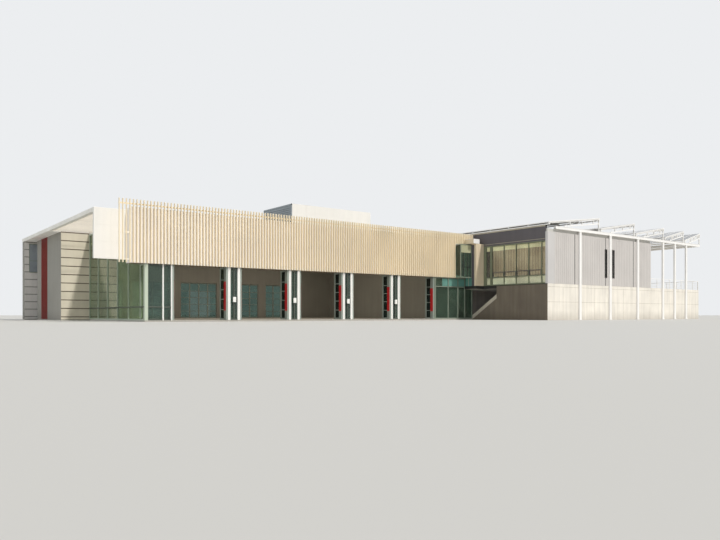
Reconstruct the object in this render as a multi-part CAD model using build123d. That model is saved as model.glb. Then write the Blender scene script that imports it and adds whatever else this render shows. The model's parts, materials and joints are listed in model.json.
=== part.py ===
from build123d import *
import os

# Fire station building with five vehicle bays and a raised wing, as a scale model at 1:2.
# Every size is in millimetres of the model, so the real building is twice as large.
# X runs along the front from the left end, Y runs from the fin screen to the back, Z is up.
# The pieces are drawn from the building's left front corner and moved to the plan's centre.

# Main block
entry_length = 2695
main_depth = 13200
floor_thickness = 50
wall_thickness = 125
roof_thickness = 90
roof_band_bottom = 3880
roof_band_top = 4020
roof_band_thickness = 150
soffit_thickness = 20
slat_width = 25
slat_height = 100
slat_pitch = 250

# Screen of upright fins over the bays
header_left = 1160
screen_left = 715
fin_pitch = 125
fin_width = 25
fin_depth = 100
fin_top = 4355
bay_head = 2105
rail_depth = 25
rail_height = 50
top_rail_bottom = 4175
low_rail_bottom = 2200
middle_rail_bottom = 3150
header_top = 4090
corner_panel_front = 515
corner_panel_bottom = 2238
upper_window_width = 795
upper_window_head = 3780
upper_window_front = -325
upper_window_bar = 40
fin_step = 3825

# Vehicle bays
bay_count = 5
bay_pitch = 2750
bay_width = 2225
first_bay_left = 2680
frame_front = 150
frame_depth = 100
post_width = 110
slim_post_width = 50
frame_rail = 50
glass_thickness = 12
leaf_thickness = 35
leaf_setback = 20
leaf_gap = 0.3
leaf_floor_gap = 10
leaf_stile = 40
leaf_rail = 60
box_width = 110
box_depth = 60
box_height = 175
box_centre = 850

# Lobby at the left of the bays
lobby_left = 1660
lobby_corner_width = 180
lobby_post_distance = 675
lobby_transom = 540
side_frame_width = 75
side_frame_head = 3820
side_pane_count = 5
lapped_wall_front = 7375
side_wall_left = 490
side_room_depth = 4750
rear_return = 450
rear_return_left = 25
strip_distance = 2570
strip_width = 1240
strip_depth = 15

# Glazed entry at the right of the bays
entry_post_distances = (965, 1645, 2145)
entry_transom = 1650

# Box on the main roof
roof_box_left = 9100
roof_box_length = 4500
roof_box_front = 2300
roof_box_depth = 2600
roof_box_top = 5300
roof_box_wall = 100

# Raised wing and its terrace
wing_front = -4550
wing_back = 2450
wing_length = 8935
wing_floor_top = 1700
wing_floor_thickness = 150
base_wall = 150
bank_top = 1265
bank_front = -1480
bank_back = 500
wing_wall_top = 4100
wing_roof_thickness = 145
wing_roof_setback = 50
wing_glass_head = 3692
wing_fascia_top = 4400
wing_corner_width = 520
link_length = 550
link_front = -620
link_top = 3770
link_roof = 50
link_beam_overhang = 175
link_beam_width = 400
link_beam_height = 225
link_beam_gap = 20
first_side_mullion = 565
side_pane_pitch = 755
side_slot_distance = 180
side_slot_width = 250
mullion_width = 30
side_sill_height = 400
slot_width = 220
slot_bottom = 2095
slot_top = 3535
slot_offset = 325
back_window_count = 3
back_window_width = 1700
back_window_bottom = 2300
back_window_top = 3500

# Rail round the open terrace
rail_top = 520
rail_bar = 25
rail_setback = 10
rail_post_pitch = 640
rail_wire_count = 4
rail_wire = 8
rail_gap = 0.3

# Columns, beams and the stepped roof canopy
column_pitch = 2560
first_column_distance = 2450
column_count = 5
beam_end_length = 1560
column_width = 150
column_depth = 75
beam_depth = 125
beam_height = 130
cross_beam_width = 100
canopy_rise = 500
canopy_thickness = 40
canopy_row_lengths = (4000, 3080, 2830, 2080)
canopy_step_gap = 120
canopy_overhang = 25
canopy_post_width = 50
rafter_width = 40
rafter_height = 50
rafter_pitch = 1120
purlin_width = 50
purlin_height = 50
chord_drop = 220
chord_height = 50
strut_count = 3

# Sizes that follow from the ones above
header_back = corner_panel_front + wall_thickness
header_inner = fin_depth + wall_thickness
frame_back = frame_front + frame_depth
last_bay_right = first_bay_left + (bay_count - 1) * bay_pitch + bay_width
main_length = last_bay_right + entry_length
link_left = main_length - link_length
upper_window_left = link_left - upper_window_width
side_wall_back = lapped_wall_front + side_room_depth
rear_recess_back = main_depth - rear_return
inner_wall_face = lobby_left + wall_thickness
header_room_left = header_left + wall_thickness
roof_underside = roof_band_bottom + soffit_thickness
roof_top = roof_underside + roof_thickness
wing_right = main_length + wing_length
wing_inner_front = wing_front + wall_thickness
wing_inner_back = wing_back - wall_thickness
wing_inner_left = main_length + wall_thickness
wing_roof_top = wing_wall_top + wing_roof_thickness
column_front = wing_front - column_depth
column_back = wing_back + column_depth
beam_top = wing_roof_top + beam_height
first_column = main_length + first_column_distance
last_column = first_column + (column_count - 1) * column_pitch
terrace_right = last_column + beam_end_length
corner_right = main_length + wing_corner_width
canopy_low = wing_fascia_top + purlin_height + rafter_height
canopy_front = column_front - canopy_overhang
canopy_back = column_back + canopy_overhang

plan_centre = Pos(-terrace_right / 2, -(main_depth + canopy_front) / 2, 0)


def block(x, y, z):
    """A plain box between two values on each axis."""
    size = [abs(high - low) for low, high in (x, y, z)]
    centre = [(low + high) / 2 for low, high in (x, y, z)]
    return Pos(*centre) * Box(*size)


def prism(points, direction):
    """A straight prism on a flat outline, as long as the given direction."""
    outline = make_face(Polyline(*points, close=True))
    way = Vector(*direction)
    return extrude(outline, amount=way.length, dir=way.normalized())


def save(name, solids):
    """One file for each node, moved from the building's corner to the centre of its plan."""
    solids = solids if isinstance(solids, list) else [solids]
    moved = [plan_centre * solid for part in solids for solid in part.solids()]
    shape = moved[0] if len(moved) == 1 else Compound(children=moved)
    export_step(shape, f"parts/{name}.step")


def spans(low, high, posts, width):
    """The free widths between two ends and the posts that stand between them."""
    edges = [low]
    for post in posts:
        edges += [post - width / 2, post + width / 2]
    edges.append(high)
    return list(zip(edges[0::2], edges[1::2]))


def bay_lefts():
    return [first_bay_left + index * bay_pitch for index in range(bay_count)]


def main_floor():
    outline = [
        (lobby_left, frame_front, 0),
        (main_length, frame_front, 0),
        (main_length, main_depth, 0),
        (rear_return_left, main_depth, 0),
        (rear_return_left, rear_recess_back, 0),
        (lobby_left, rear_recess_back, 0),
        (lobby_left, side_wall_back, 0),
        (side_wall_left, side_wall_back, 0),
        (side_wall_left, lapped_wall_front, 0),
        (lobby_left, lapped_wall_front, 0),
    ]
    save("main_floor", prism(outline, (0, 0, floor_thickness)))


def front_header():
    """Deep bulkhead over the bays, open at the back, with the upper window cut through."""
    face = block((header_left, main_length), (fin_depth, header_inner), (bay_head, header_top))
    shelf = block((header_left, main_length), (header_inner, header_back),
                  (bay_head, bay_head + wall_thickness))
    left_end = block((header_left, header_room_left), (header_inner, header_back),
                     (bay_head + wall_thickness, header_top))
    right_end = block((main_length - wall_thickness, main_length), (header_inner, header_back),
                      (bay_head + wall_thickness, header_top))
    window = block((upper_window_left, link_left), (fin_depth, header_inner),
                   (bay_head + wall_thickness, upper_window_head))
    save("front_header", face + [shelf, left_end, right_end] - window)


def fin_screen():
    """Upright fins on slim rails; over the upper window only their tops go on."""
    fins = []
    count = int((main_length - fin_width - screen_left) // fin_pitch) + 1
    for index in range(count):
        left = screen_left + index * fin_pitch
        foot = fin_step if left + fin_width > upper_window_left else bay_head
        fins.append(block((left, left + fin_width), (0, fin_depth), (foot, fin_top)))
    right = screen_left + (count - 1) * fin_pitch + fin_width
    rails = [block((screen_left, right), (fin_depth, fin_depth + rail_depth),
                   (top_rail_bottom, top_rail_bottom + rail_height))]
    for bottom in (low_rail_bottom, middle_rail_bottom):
        rails.append(block((screen_left, header_left), (fin_depth, fin_depth + rail_depth),
                           (bottom, bottom + rail_height)))
    save("fin_screen", fins[0] + fins[1:] + rails)


def slatted_roof():
    """Open slats across the porch between two ledgers, and the closed soffit behind them."""
    porch_y = (header_back, lapped_wall_front)
    high = roof_band_bottom + slat_height
    left_ledger = (roof_band_thickness, roof_band_thickness + slat_width)
    right_ledger = (lobby_left - slat_width, lobby_left)
    soffit = block((roof_band_thickness, lobby_left),
                   (lapped_wall_front, main_depth - wall_thickness),
                   (roof_band_bottom, roof_underside))
    bars = [block(x, porch_y, (roof_band_bottom, high)) for x in (left_ledger, right_ledger)]
    count = int((lapped_wall_front - header_back) // slat_pitch)
    for index in range(count):
        front = header_back + (index + 0.5) * slat_pitch
        bars.append(block((left_ledger[1], right_ledger[0]), (front, front + slat_width),
                          (roof_band_bottom, high)))
    return soffit + bars


def left_end():
    save("corner_panel", block((0, header_left), (corner_panel_front, header_back),
                               (corner_panel_bottom, roof_band_top)))
    save("left_roof_band", block((0, roof_band_thickness), (header_back, main_depth),
                                 (roof_band_bottom, roof_band_top)))
    save("left_soffit", slatted_roof())
    room_back = side_wall_back - wall_thickness
    beam = [
        (lobby_left, header_back, side_frame_head),
        (lobby_left, room_back, side_frame_head),
        (lobby_left, room_back, roof_band_bottom),
        (lobby_left, main_depth - wall_thickness, roof_band_bottom),
        (lobby_left, main_depth - wall_thickness, roof_underside),
        (lobby_left, header_back, roof_underside),
    ]
    save("lobby_head_beam", prism(beam, (wall_thickness, 0, 0)))
    save("lapped_wall", block((side_wall_left, lobby_left),
                              (lapped_wall_front, lapped_wall_front + wall_thickness),
                              (floor_thickness, roof_band_bottom)))
    side_inner = side_wall_left + wall_thickness
    return_inner = rear_return_left + wall_thickness
    outline = [
        (side_wall_left, lapped_wall_front + wall_thickness, floor_thickness),
        (side_inner, lapped_wall_front + wall_thickness, floor_thickness),
        (side_inner, side_wall_back - wall_thickness, floor_thickness),
        (inner_wall_face, side_wall_back - wall_thickness, floor_thickness),
        (inner_wall_face, rear_recess_back + wall_thickness, floor_thickness),
        (return_inner, rear_recess_back + wall_thickness, floor_thickness),
        (return_inner, main_depth, floor_thickness),
        (rear_return_left, main_depth, floor_thickness),
        (rear_return_left, rear_recess_back, floor_thickness),
        (lobby_left, rear_recess_back, floor_thickness),
        (lobby_left, side_wall_back, floor_thickness),
        (side_wall_left, side_wall_back, floor_thickness),
    ]
    save("left_wall", prism(outline, (0, 0, roof_band_bottom - floor_thickness)))
    strip_front = lapped_wall_front + strip_distance
    save("red_strip", block((side_wall_left - strip_depth, side_wall_left),
                            (strip_front, strip_front + strip_width),
                            (floor_thickness, roof_band_bottom)))


def main_roof():
    outline = [
        (header_room_left, header_inner, roof_underside),
        (main_length - wall_thickness, header_inner, roof_underside),
        (main_length - wall_thickness, main_depth - wall_thickness, roof_underside),
        (roof_band_thickness, main_depth - wall_thickness, roof_underside),
        (roof_band_thickness, lapped_wall_front, roof_underside),
        (lobby_left, lapped_wall_front, roof_underside),
        (lobby_left, header_back, roof_underside),
        (header_room_left, header_back, roof_underside),
    ]
    save("main_roof", prism(outline, (0, 0, roof_thickness)))
    right = roof_box_left + roof_box_length
    back = roof_box_front + roof_box_depth
    shell = block((roof_box_left, right), (roof_box_front, back), (roof_top, roof_box_top))
    room = block((roof_box_left + roof_box_wall, right - roof_box_wall),
                 (roof_box_front + roof_box_wall, back - roof_box_wall),
                 (roof_top, roof_box_top - roof_box_wall))
    save("roof_box", shell - room)


def rear_and_right_walls():
    """The back repeats the bays as closed folding doors."""
    wall = block((rear_return_left + wall_thickness, main_length - wall_thickness),
                 (main_depth - wall_thickness, main_depth), (floor_thickness, roof_band_top))
    doors = []
    for left in bay_lefts():
        right = left + bay_width
        wall -= block((left, right), (main_depth - wall_thickness, main_depth),
                      (floor_thickness, bay_head))
        back = main_depth - leaf_setback
        leaves = block((left, right), (back - leaf_thickness, back), (floor_thickness, bay_head))
        for index in range(4):
            start = left + index * bay_width / 4
            leaves -= block((start + leaf_stile, start + bay_width / 4 - leaf_stile),
                            (back - leaf_thickness, back),
                            (floor_thickness + leaf_rail, bay_head - leaf_rail))
        doors.append(leaves)
    save("rear_wall", wall)
    save("rear_doors", doors)
    outline = [
        (main_length - wall_thickness, frame_back, floor_thickness),
        (main_length - wall_thickness, main_depth, floor_thickness),
        (main_length - wall_thickness, main_depth, roof_band_top),
        (main_length - wall_thickness, header_back, roof_band_top),
        (main_length - wall_thickness, header_back, bay_head),
        (main_length - wall_thickness, frame_back, bay_head),
    ]
    save("right_wall", prism(outline, (wall_thickness, 0, 0)))


def pane(x, z):
    """Glass in the front frames."""
    middle = frame_front + frame_depth / 2
    return block(x, (middle - glass_thickness / 2, middle + glass_thickness / 2), z)


def lobby_side(head_back):
    """The frame and glass of the side wall, which steps up behind the header."""
    outer = [
        (lobby_left, frame_back, floor_thickness),
        (lobby_left, lapped_wall_front, floor_thickness),
        (lobby_left, lapped_wall_front, side_frame_head),
        (lobby_left, header_back, side_frame_head),
        (lobby_left, header_back, bay_head),
        (lobby_left, frame_back, bay_head),
    ]
    frame = prism(outer, (side_frame_width, 0, 0))
    sheets = []
    middle = lobby_left + side_frame_width / 2
    sheet_x = (middle - glass_thickness / 2, middle + glass_thickness / 2)
    sill = floor_thickness + frame_rail
    length = lapped_wall_front - head_back
    posts = [head_back + index * length / side_pane_count for index in range(1, side_pane_count)]
    lights = [(stretch, side_frame_head - frame_rail)
              for stretch in spans(head_back, lapped_wall_front - frame_rail, posts,
                                   slim_post_width)]
    lights.append(((frame_back + frame_rail, header_back), bay_head - frame_rail))
    for (front, back), head in lights:
        for low, high in spans(sill, head, [lobby_transom], frame_rail):
            frame -= block((lobby_left, lobby_left + side_frame_width), (front, back), (low, high))
            sheets.append(block(sheet_x, (front, back), (low, high)))
    return frame, sheets


def upper_window(glass):
    """Glazed box that stands out from the screen beside the link, with a front and a left pane."""
    bar = upper_window_bar
    x = (upper_window_left, link_left)
    y = (upper_window_front, fin_depth)
    z = (bay_head, upper_window_head)
    room_z = (z[0] + bar, z[1] - bar)
    frame = block(x, y, z)
    frame -= block((x[0] + bar, x[1] - bar), y, room_z)
    frame -= block((x[0], x[0] + bar), (y[0] + bar, y[1] - bar), room_z)
    middle = bar / 2
    half = glass_thickness / 2
    glass.append(block((x[0] + bar, x[1] - bar), (y[0] + middle - half, y[0] + middle + half),
                       room_z))
    glass.append(block((x[0] + middle - half, x[0] + middle + half), (y[0] + bar, y[1] - bar),
                       room_z))
    return frame


def front_glazing():
    """Lobby, piers and entry: frames with their glass in the plane of the bay doors."""
    glass = []
    head = bay_head - frame_rail
    sill = floor_thickness + frame_rail
    frame = block((lobby_left, first_bay_left), (frame_front, frame_back),
                  (floor_thickness, bay_head))
    post = lobby_left + lobby_post_distance
    for left, right in spans(lobby_left + lobby_corner_width, first_bay_left - slim_post_width,
                             [post], slim_post_width):
        for low, high in spans(sill, head, [lobby_transom], frame_rail):
            frame -= block((left, right), (frame_front, frame_back), (low, high))
            glass.append(pane((left, right), (low, high)))
    save("lobby_front_frame", frame)

    side_frame, side_sheets = lobby_side(header_back + slim_post_width)
    save("lobby_side_frame", side_frame)
    glass += side_sheets

    piers = []
    boxes = []
    for bay in bay_lefts()[:-1]:
        left = bay + bay_width
        right = bay + bay_pitch
        middle = (left + right) / 2
        pier = block((left, right), (frame_front, frame_back), (floor_thickness, bay_head))
        for low, high in spans(left + post_width, right - post_width, [middle], slim_post_width):
            pier -= block((low, high), (frame_front, frame_back), (sill, head))
            glass.append(pane((low, high), (sill, head)))
        piers.append(pier)
        boxes.append(block((middle - box_width / 2, middle + box_width / 2),
                           (frame_front - box_depth, frame_front),
                           (box_centre - box_height / 2, box_centre + box_height / 2)))
    save("bay_piers", piers)
    save("pier_boxes", boxes)

    frame = block((last_bay_right, main_length), (frame_front, frame_back),
                  (floor_thickness, bay_head))
    posts = [last_bay_right + distance for distance in entry_post_distances]
    for left, right in spans(last_bay_right + post_width, main_length - frame_rail, posts,
                             slim_post_width):
        for low, high in spans(sill, head, [entry_transom], frame_rail):
            frame -= block((left, right), (frame_front, frame_back), (low, high))
            glass.append(pane((left, right), (low, high)))
    save("entry_frame", frame)
    save("upper_window_frame", upper_window(glass))
    save("front_glass", glass)


def folded_leaf(near, front):
    """One glazed leaf standing square to the front, with its pane."""
    far = near + leaf_thickness
    back = front + bay_width / 4
    low = floor_thickness + leaf_floor_gap
    leaf = block((near, far), (front, back), (low, bay_head))
    light_y = (front + leaf_stile, back - leaf_stile)
    light_z = (low + leaf_rail, bay_head - leaf_rail)
    leaf -= block((near, far), light_y, light_z)
    middle = (near + far) / 2
    sheet = block((middle - glass_thickness / 2, middle + glass_thickness / 2), light_y, light_z)
    return leaf, sheet


def bay_doors():
    """Each bay's four leaves stand folded back in pairs at the jambs."""
    sheets = []
    front = frame_front + leaf_setback
    for number, left in enumerate(bay_lefts(), start=1):
        right = left + bay_width
        nears = [
            left,
            left + leaf_thickness + leaf_gap,
            right - leaf_thickness,
            right - 2 * leaf_thickness - leaf_gap,
        ]
        leaves = []
        for near in nears:
            leaf, sheet = folded_leaf(near, front)
            leaves.append(leaf)
            sheets.append(sheet)
        save(f"bay_{number}_doors", leaves)
        back = main_depth - leaf_setback
        middle = back - leaf_thickness / 2
        for index in range(4):
            start = left + index * bay_width / 4
            sheets.append(block((start + leaf_stile, start + bay_width / 4 - leaf_stile),
                                (middle - glass_thickness / 2, middle + glass_thickness / 2),
                                (floor_thickness + leaf_rail, bay_head - leaf_rail)))
    save("door_glass", sheets)


def wing_base():
    """Concrete wall round the raised wing, open over a sloping end beside the entry."""
    top = wing_floor_top - wing_floor_thickness
    ring = block((main_length, terrace_right), (wing_front, wing_back), (0, top))
    ring -= block((main_length + base_wall, terrace_right - base_wall),
                  (wing_front + base_wall, wing_back - base_wall), (0, top))
    bank = [
        (main_length, bank_front, top),
        (main_length, bank_front, bank_top),
        (main_length, bank_back, 0),
        (main_length, wing_back - base_wall, 0),
        (main_length, wing_back - base_wall, top),
    ]
    save("wing_base", ring - prism(bank, (base_wall, 0, 0)))
    outline = [
        (link_left, link_front, top),
        (main_length, link_front, top),
        (main_length, wing_front, top),
        (terrace_right, wing_front, top),
        (terrace_right, wing_back, top),
        (main_length, wing_back, top),
        (main_length, frame_front, top),
        (link_left, frame_front, top),
    ]
    save("wing_floor", prism(outline, (0, 0, wing_floor_thickness)))


def link():
    """Short solid end between the main block and the wing's glass side."""
    shell = block((link_left, main_length), (link_front, fin_depth), (wing_floor_top, link_top))
    shell -= block((link_left + wall_thickness, main_length),
                   (link_front + wall_thickness, fin_depth), (wing_floor_top, link_top))
    roof = block((link_left, main_length), (link_front, 0), (link_top, link_top + link_roof))
    save("link_wall", shell + roof)
    beam_left = link_left - link_beam_overhang
    beam_bottom = link_top + link_roof
    save("link_beam", block((beam_left, beam_left + link_beam_width),
                            (link_front, -link_beam_gap),
                            (beam_bottom, beam_bottom + link_beam_height)))


def wing_side():
    """Glazed left side of the wing under a deep fascia."""
    x = (main_length, main_length + side_frame_width)
    frame = block(x, (wing_inner_front, link_front), (wing_floor_top, wing_glass_head))
    middle = main_length + side_frame_width / 2
    sheet_x = (middle - glass_thickness / 2, middle + glass_thickness / 2)
    sill = wing_floor_top + frame_rail
    head = wing_glass_head - frame_rail
    transom = wing_floor_top + side_sill_height
    first = link_front - first_side_mullion
    last_pane = wing_inner_front + mullion_width
    count = int((first - last_pane) // side_pane_pitch) + 1
    mullions = [first - index * side_pane_pitch for index in range(count)]
    lights = spans(first, wing_inner_front, mullions[1:], -mullion_width)
    slot_back = link_front - side_slot_distance
    lights.append((slot_back, slot_back - side_slot_width))
    sheets = []
    for back, front in lights:
        for low, high in spans(sill, head, [transom], mullion_width):
            frame -= block(x, (front, back), (low, high))
            sheets.append(block(sheet_x, (front, back), (low, high)))
    save("wing_side_frame", frame)
    save("wing_side_glass", sheets)
    link_roof_top = link_top + link_roof
    fascia = [
        (main_length, wing_inner_front, wing_glass_head),
        (main_length, link_front, wing_glass_head),
        (main_length, link_front, link_roof_top),
        (main_length, wing_inner_back, link_roof_top),
        (main_length, wing_inner_back, wing_fascia_top),
        (main_length, wing_inner_front, wing_fascia_top),
    ]
    save("wing_fascia", prism(fascia, (wall_thickness, 0, 0)))


def wing_walls():
    save("wing_corner_panel", block((main_length, corner_right), (wing_front, wing_inner_front),
                                    (wing_floor_top, wing_wall_top)))
    front = block((corner_right, wing_right), (wing_front, wing_inner_front),
                  (wing_floor_top, wing_wall_top))
    right = block((wing_right - wall_thickness, wing_right), (wing_inner_front, wing_inner_back),
                  (wing_floor_top, wing_wall_top))
    back = block((main_length, wing_right), (wing_inner_back, wing_back),
                 (wing_floor_top, wing_wall_top))
    sheets = []
    window_column = first_column + column_pitch
    sheet_y = (wing_inner_front - glass_thickness, wing_inner_front)
    for side in (-1, 1):
        centre = window_column + side * slot_offset
        slot_x = (centre - slot_width / 2, centre + slot_width / 2)
        front -= block(slot_x, (wing_front, wing_inner_front), (slot_bottom, slot_top))
        sheets.append(block(slot_x, sheet_y, (slot_bottom, slot_top)))
        slot_y = (side * column_pitch / 2 - slot_width / 2 + (wing_front + wing_back) / 2,
                  side * column_pitch / 2 + slot_width / 2 + (wing_front + wing_back) / 2)
        right -= block((wing_right - wall_thickness, wing_right), slot_y, (slot_bottom, slot_top))
        sheets.append(block((wing_right - wall_thickness,
                             wing_right - wall_thickness + glass_thickness),
                            slot_y, (slot_bottom, slot_top)))
    for index in range(back_window_count):
        centre = first_column + (index - 0.5) * column_pitch
        window_x = (centre - back_window_width / 2, centre + back_window_width / 2)
        window_z = (back_window_bottom, back_window_top)
        back -= block(window_x, (wing_inner_back, wing_back), window_z)
        sheets.append(block(window_x, (wing_inner_back, wing_inner_back + glass_thickness),
                            window_z))
    save("wing_front_wall", front)
    save("wing_right_wall", right)
    save("wing_back_wall", back)
    save("wing_window_glass", sheets)


def wing_roof():
    edge = wing_front + wing_roof_setback
    left = main_length + wing_roof_setback
    outline = [
        (left, edge, wing_wall_top),
        (wing_right, edge, wing_wall_top),
        (wing_right, wing_back, wing_wall_top),
        (wing_inner_left, wing_back, wing_wall_top),
        (wing_inner_left, wing_inner_front, wing_wall_top),
        (left, wing_inner_front, wing_wall_top),
    ]
    save("wing_roof", prism(outline, (0, 0, wing_roof_thickness)))


def column_centres():
    """Five columns at one pitch, with one more halfway along the open terrace."""
    centres = [first_column + index * column_pitch for index in range(column_count)]
    centres.append(centres[-1] - column_pitch / 2)
    return centres


def columns_and_beams():
    columns = []
    for centre in column_centres():
        x = (centre - column_width / 2, centre + column_width / 2)
        columns.append(block(x, (column_front, wing_front), (0, wing_roof_top)))
        columns.append(block(x, (wing_back, column_back), (0, wing_roof_top)))
    save("wing_columns", columns)
    z = (wing_roof_top, beam_top)
    front_y = (column_front, column_front + beam_depth)
    back_y = (column_back - beam_depth, column_back)
    save("front_beam", block((corner_right, terrace_right), front_y, z))
    save("back_beam", block((corner_right, terrace_right), back_y, z))
    cross = []
    rights = [wing_right, last_column + column_width / 2, terrace_right]
    for right in rights:
        cross.append(block((right - cross_beam_width, right), (front_y[1], back_y[0]), z))
    save("cross_beams", cross)


def rail_panel(corner, way, length):
    """One straight stretch of the terrace rail: posts, top bar and wires."""
    bar_bottom = rail_top - rail_bar

    def piece(start, stop, width, bottom, top):
        inset = (rail_bar - width) / 2
        x, y = [(corner[axis] + way[axis] * start + way[1 - axis] * inset,
                 corner[axis] + way[axis] * stop + way[1 - axis] * (rail_bar - inset))
                for axis in (0, 1)]
        return block(x, y, (wing_floor_top + bottom, wing_floor_top + top))

    count = round(length / rail_post_pitch)
    for_posts = [(length - rail_bar) * index / count for index in range(count + 1)]
    for_wires = [bar_bottom * (index + 1) / (rail_wire_count + 1)
                 for index in range(rail_wire_count)]
    posts = [piece(spot, spot + rail_bar, rail_bar, 0, bar_bottom) for spot in for_posts]
    wires = [piece(0, length, rail_wire, level, level + rail_wire) for level in for_wires]
    return piece(0, length, rail_bar, bar_bottom, rail_top) + posts + wires


def terrace_rail():
    """Guard rail along the open sides of the terrace."""
    left = wing_right + rail_setback
    right = terrace_right - rail_setback
    front = wing_front + rail_setback
    back = wing_back - rail_setback
    side_front = front + rail_bar + rail_gap
    save("terrace_rail", [
        rail_panel((left, front), (1, 0), right - left),
        rail_panel((left, back - rail_bar), (1, 0), right - left),
        rail_panel((right - rail_bar, side_front), (0, 1),
                   back - rail_bar - rail_gap - side_front),
    ])


def canopy_rows():
    """Left and right ends of the panel rows; the last row ends with the beams."""
    rows = []
    left = main_length
    for length in canopy_row_lengths:
        rows.append((left, left + length))
        left += length + canopy_step_gap
    rows.append((left, terrace_right))
    return rows


def sloped_bar(x, y, bottoms, tops):
    """A bar along Y with a low and a high level of its own at each end of its X range."""
    outline = [
        (x[0], y[0], bottoms[0]),
        (x[1], y[0], bottoms[1]),
        (x[1], y[0], tops[1]),
        (x[0], y[0], tops[0]),
    ]
    return prism(outline, (0, y[1] - y[0], 0))


def row_truss(row, slope, y):
    """Lower chord of a row: it leaves the beam and runs under the rafter, tied by struts."""
    under = canopy_low - row[0] * slope
    run = (beam_top + chord_drop + chord_height - canopy_low) / slope
    x = (row[0] + run, row[1] - purlin_width)

    def level(place, drop):
        return under + slope * place - drop

    bottoms = [level(edge, chord_drop + chord_height) for edge in x]
    tops = [level(edge, chord_drop) for edge in x]
    pieces = [sloped_bar(x, y, bottoms, tops)]
    for index in range(strut_count):
        left = x[0] + (x[1] - x[0]) * (index + 0.5) / strut_count
        ends = (left, left + rafter_width)
        pieces.append(sloped_bar(ends, y, [level(edge, chord_drop) for edge in ends],
                                 [level(edge, rafter_height) for edge in ends]))
    return pieces


def canopy():
    """Panel rows that each rise to the right, on rafters, purlins and posts over the beams."""
    panels = []
    rafters = []
    posts = []
    y = (canopy_front, canopy_back)
    room = column_back - column_front - rafter_width
    count = round(room / rafter_pitch)
    for row in canopy_rows():
        unders = (canopy_low, canopy_low + canopy_rise)
        tops = [level + canopy_thickness for level in unders]
        feet = [level - rafter_height for level in unders]
        slope = canopy_rise / (row[1] - row[0])
        panels.append(sloped_bar(row, y, unders, tops))
        for index in range(count + 1):
            spot = column_front + room * index / count
            rafters.append(sloped_bar(row, (spot, spot + rafter_width), feet, unders))
        for front in (column_front, column_back - rafter_width):
            rafters += row_truss(row, slope, (front, front + rafter_width))
        for start in (row[0], row[1] - purlin_width):
            x = (start, start + purlin_width)
            levels = [feet[0] + slope * (edge - row[0]) for edge in x]
            foot = levels[0] - purlin_height
            rafters.append(sloped_bar(x, y, (foot, foot), levels))
            for front in (column_front, column_back - canopy_post_width):
                if start > corner_right:
                    posts.append(block(x, (front, front + canopy_post_width), (beam_top, foot)))
    save("canopy_panels", panels)
    save("canopy_rafters", rafters)
    save("canopy_posts", posts)


def main():
    os.makedirs("parts", exist_ok=True)
    main_floor()
    front_header()
    fin_screen()
    left_end()
    main_roof()
    rear_and_right_walls()
    front_glazing()
    bay_doors()
    wing_base()
    link()
    wing_side()
    wing_walls()
    wing_roof()
    columns_and_beams()
    terrace_rail()
    canopy()


main()
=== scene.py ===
import bpy
import bmesh
import json
import math
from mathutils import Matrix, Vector


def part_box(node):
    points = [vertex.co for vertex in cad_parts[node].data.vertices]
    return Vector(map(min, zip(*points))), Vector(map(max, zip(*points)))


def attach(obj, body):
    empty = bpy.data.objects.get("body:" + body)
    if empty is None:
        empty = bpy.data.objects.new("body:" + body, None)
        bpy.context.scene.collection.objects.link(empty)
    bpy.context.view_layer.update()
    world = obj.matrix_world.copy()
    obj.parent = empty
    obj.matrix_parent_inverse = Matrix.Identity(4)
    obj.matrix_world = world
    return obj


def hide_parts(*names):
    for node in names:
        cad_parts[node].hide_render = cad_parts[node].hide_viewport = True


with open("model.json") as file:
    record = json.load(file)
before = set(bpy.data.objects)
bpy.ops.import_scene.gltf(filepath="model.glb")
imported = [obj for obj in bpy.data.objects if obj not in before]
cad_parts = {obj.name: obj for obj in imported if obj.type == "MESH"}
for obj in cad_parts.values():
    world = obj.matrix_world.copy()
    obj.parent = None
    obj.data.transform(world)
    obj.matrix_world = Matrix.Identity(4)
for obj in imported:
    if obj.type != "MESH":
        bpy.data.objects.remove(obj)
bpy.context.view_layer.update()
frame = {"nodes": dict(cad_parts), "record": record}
scene = bpy.context.scene
scene.view_settings.view_transform = "Standard"
bays = range(1, 6)


# Colours and shader nodes
noise_low, noise_high = 0.3, 0.7
mix_first, mix_second, mix_result = 6, 7, 2


def linear(red, green, blue):
    """An sRGB colour from 0 to 255 as the linear values that the shaders use."""
    values = [channel / 255 for channel in (red, green, blue)]
    return tuple(v / 12.92 if v <= 0.04045 else ((v + 0.055) / 1.055) ** 2.4 for v in values)


def node(tree, kind, inputs=(), **settings):
    """A new node with its settings, and with its inputs linked or set."""
    made = tree.nodes.new(kind)
    for name, value in settings.items():
        setattr(made, name, value)
    for name, value in dict(inputs).items():
        if isinstance(value, bpy.types.NodeSocket):
            tree.links.new(value, made.inputs[name])
        else:
            made.inputs[name].default_value = value
    return made


def noise(tree, place, scale, detail):
    made = node(tree, "ShaderNodeTexNoise", {"Vector": place, "Scale": scale, "Detail": detail})
    return made.outputs["Fac"]


def spread(tree, value, low, high):
    """A noise value from its usual middle range to the one asked for."""
    made = node(tree, "ShaderNodeMapRange", {"Value": value, "From Min": noise_low,
                                             "From Max": noise_high, "To Min": low, "To Max": high})
    return made.outputs["Result"]


def blend_colours(tree, share, first, second, kind="MIX"):
    made = node(tree, "ShaderNodeMix", {"Factor": share}, data_type="RGBA", blend_type=kind)
    for socket, value in ((made.inputs[mix_first], first), (made.inputs[mix_second], second)):
        if isinstance(value, bpy.types.NodeSocket):
            tree.links.new(value, socket)
        else:
            socket.default_value = (*value, 1)
    return made.outputs[mix_result]


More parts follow.
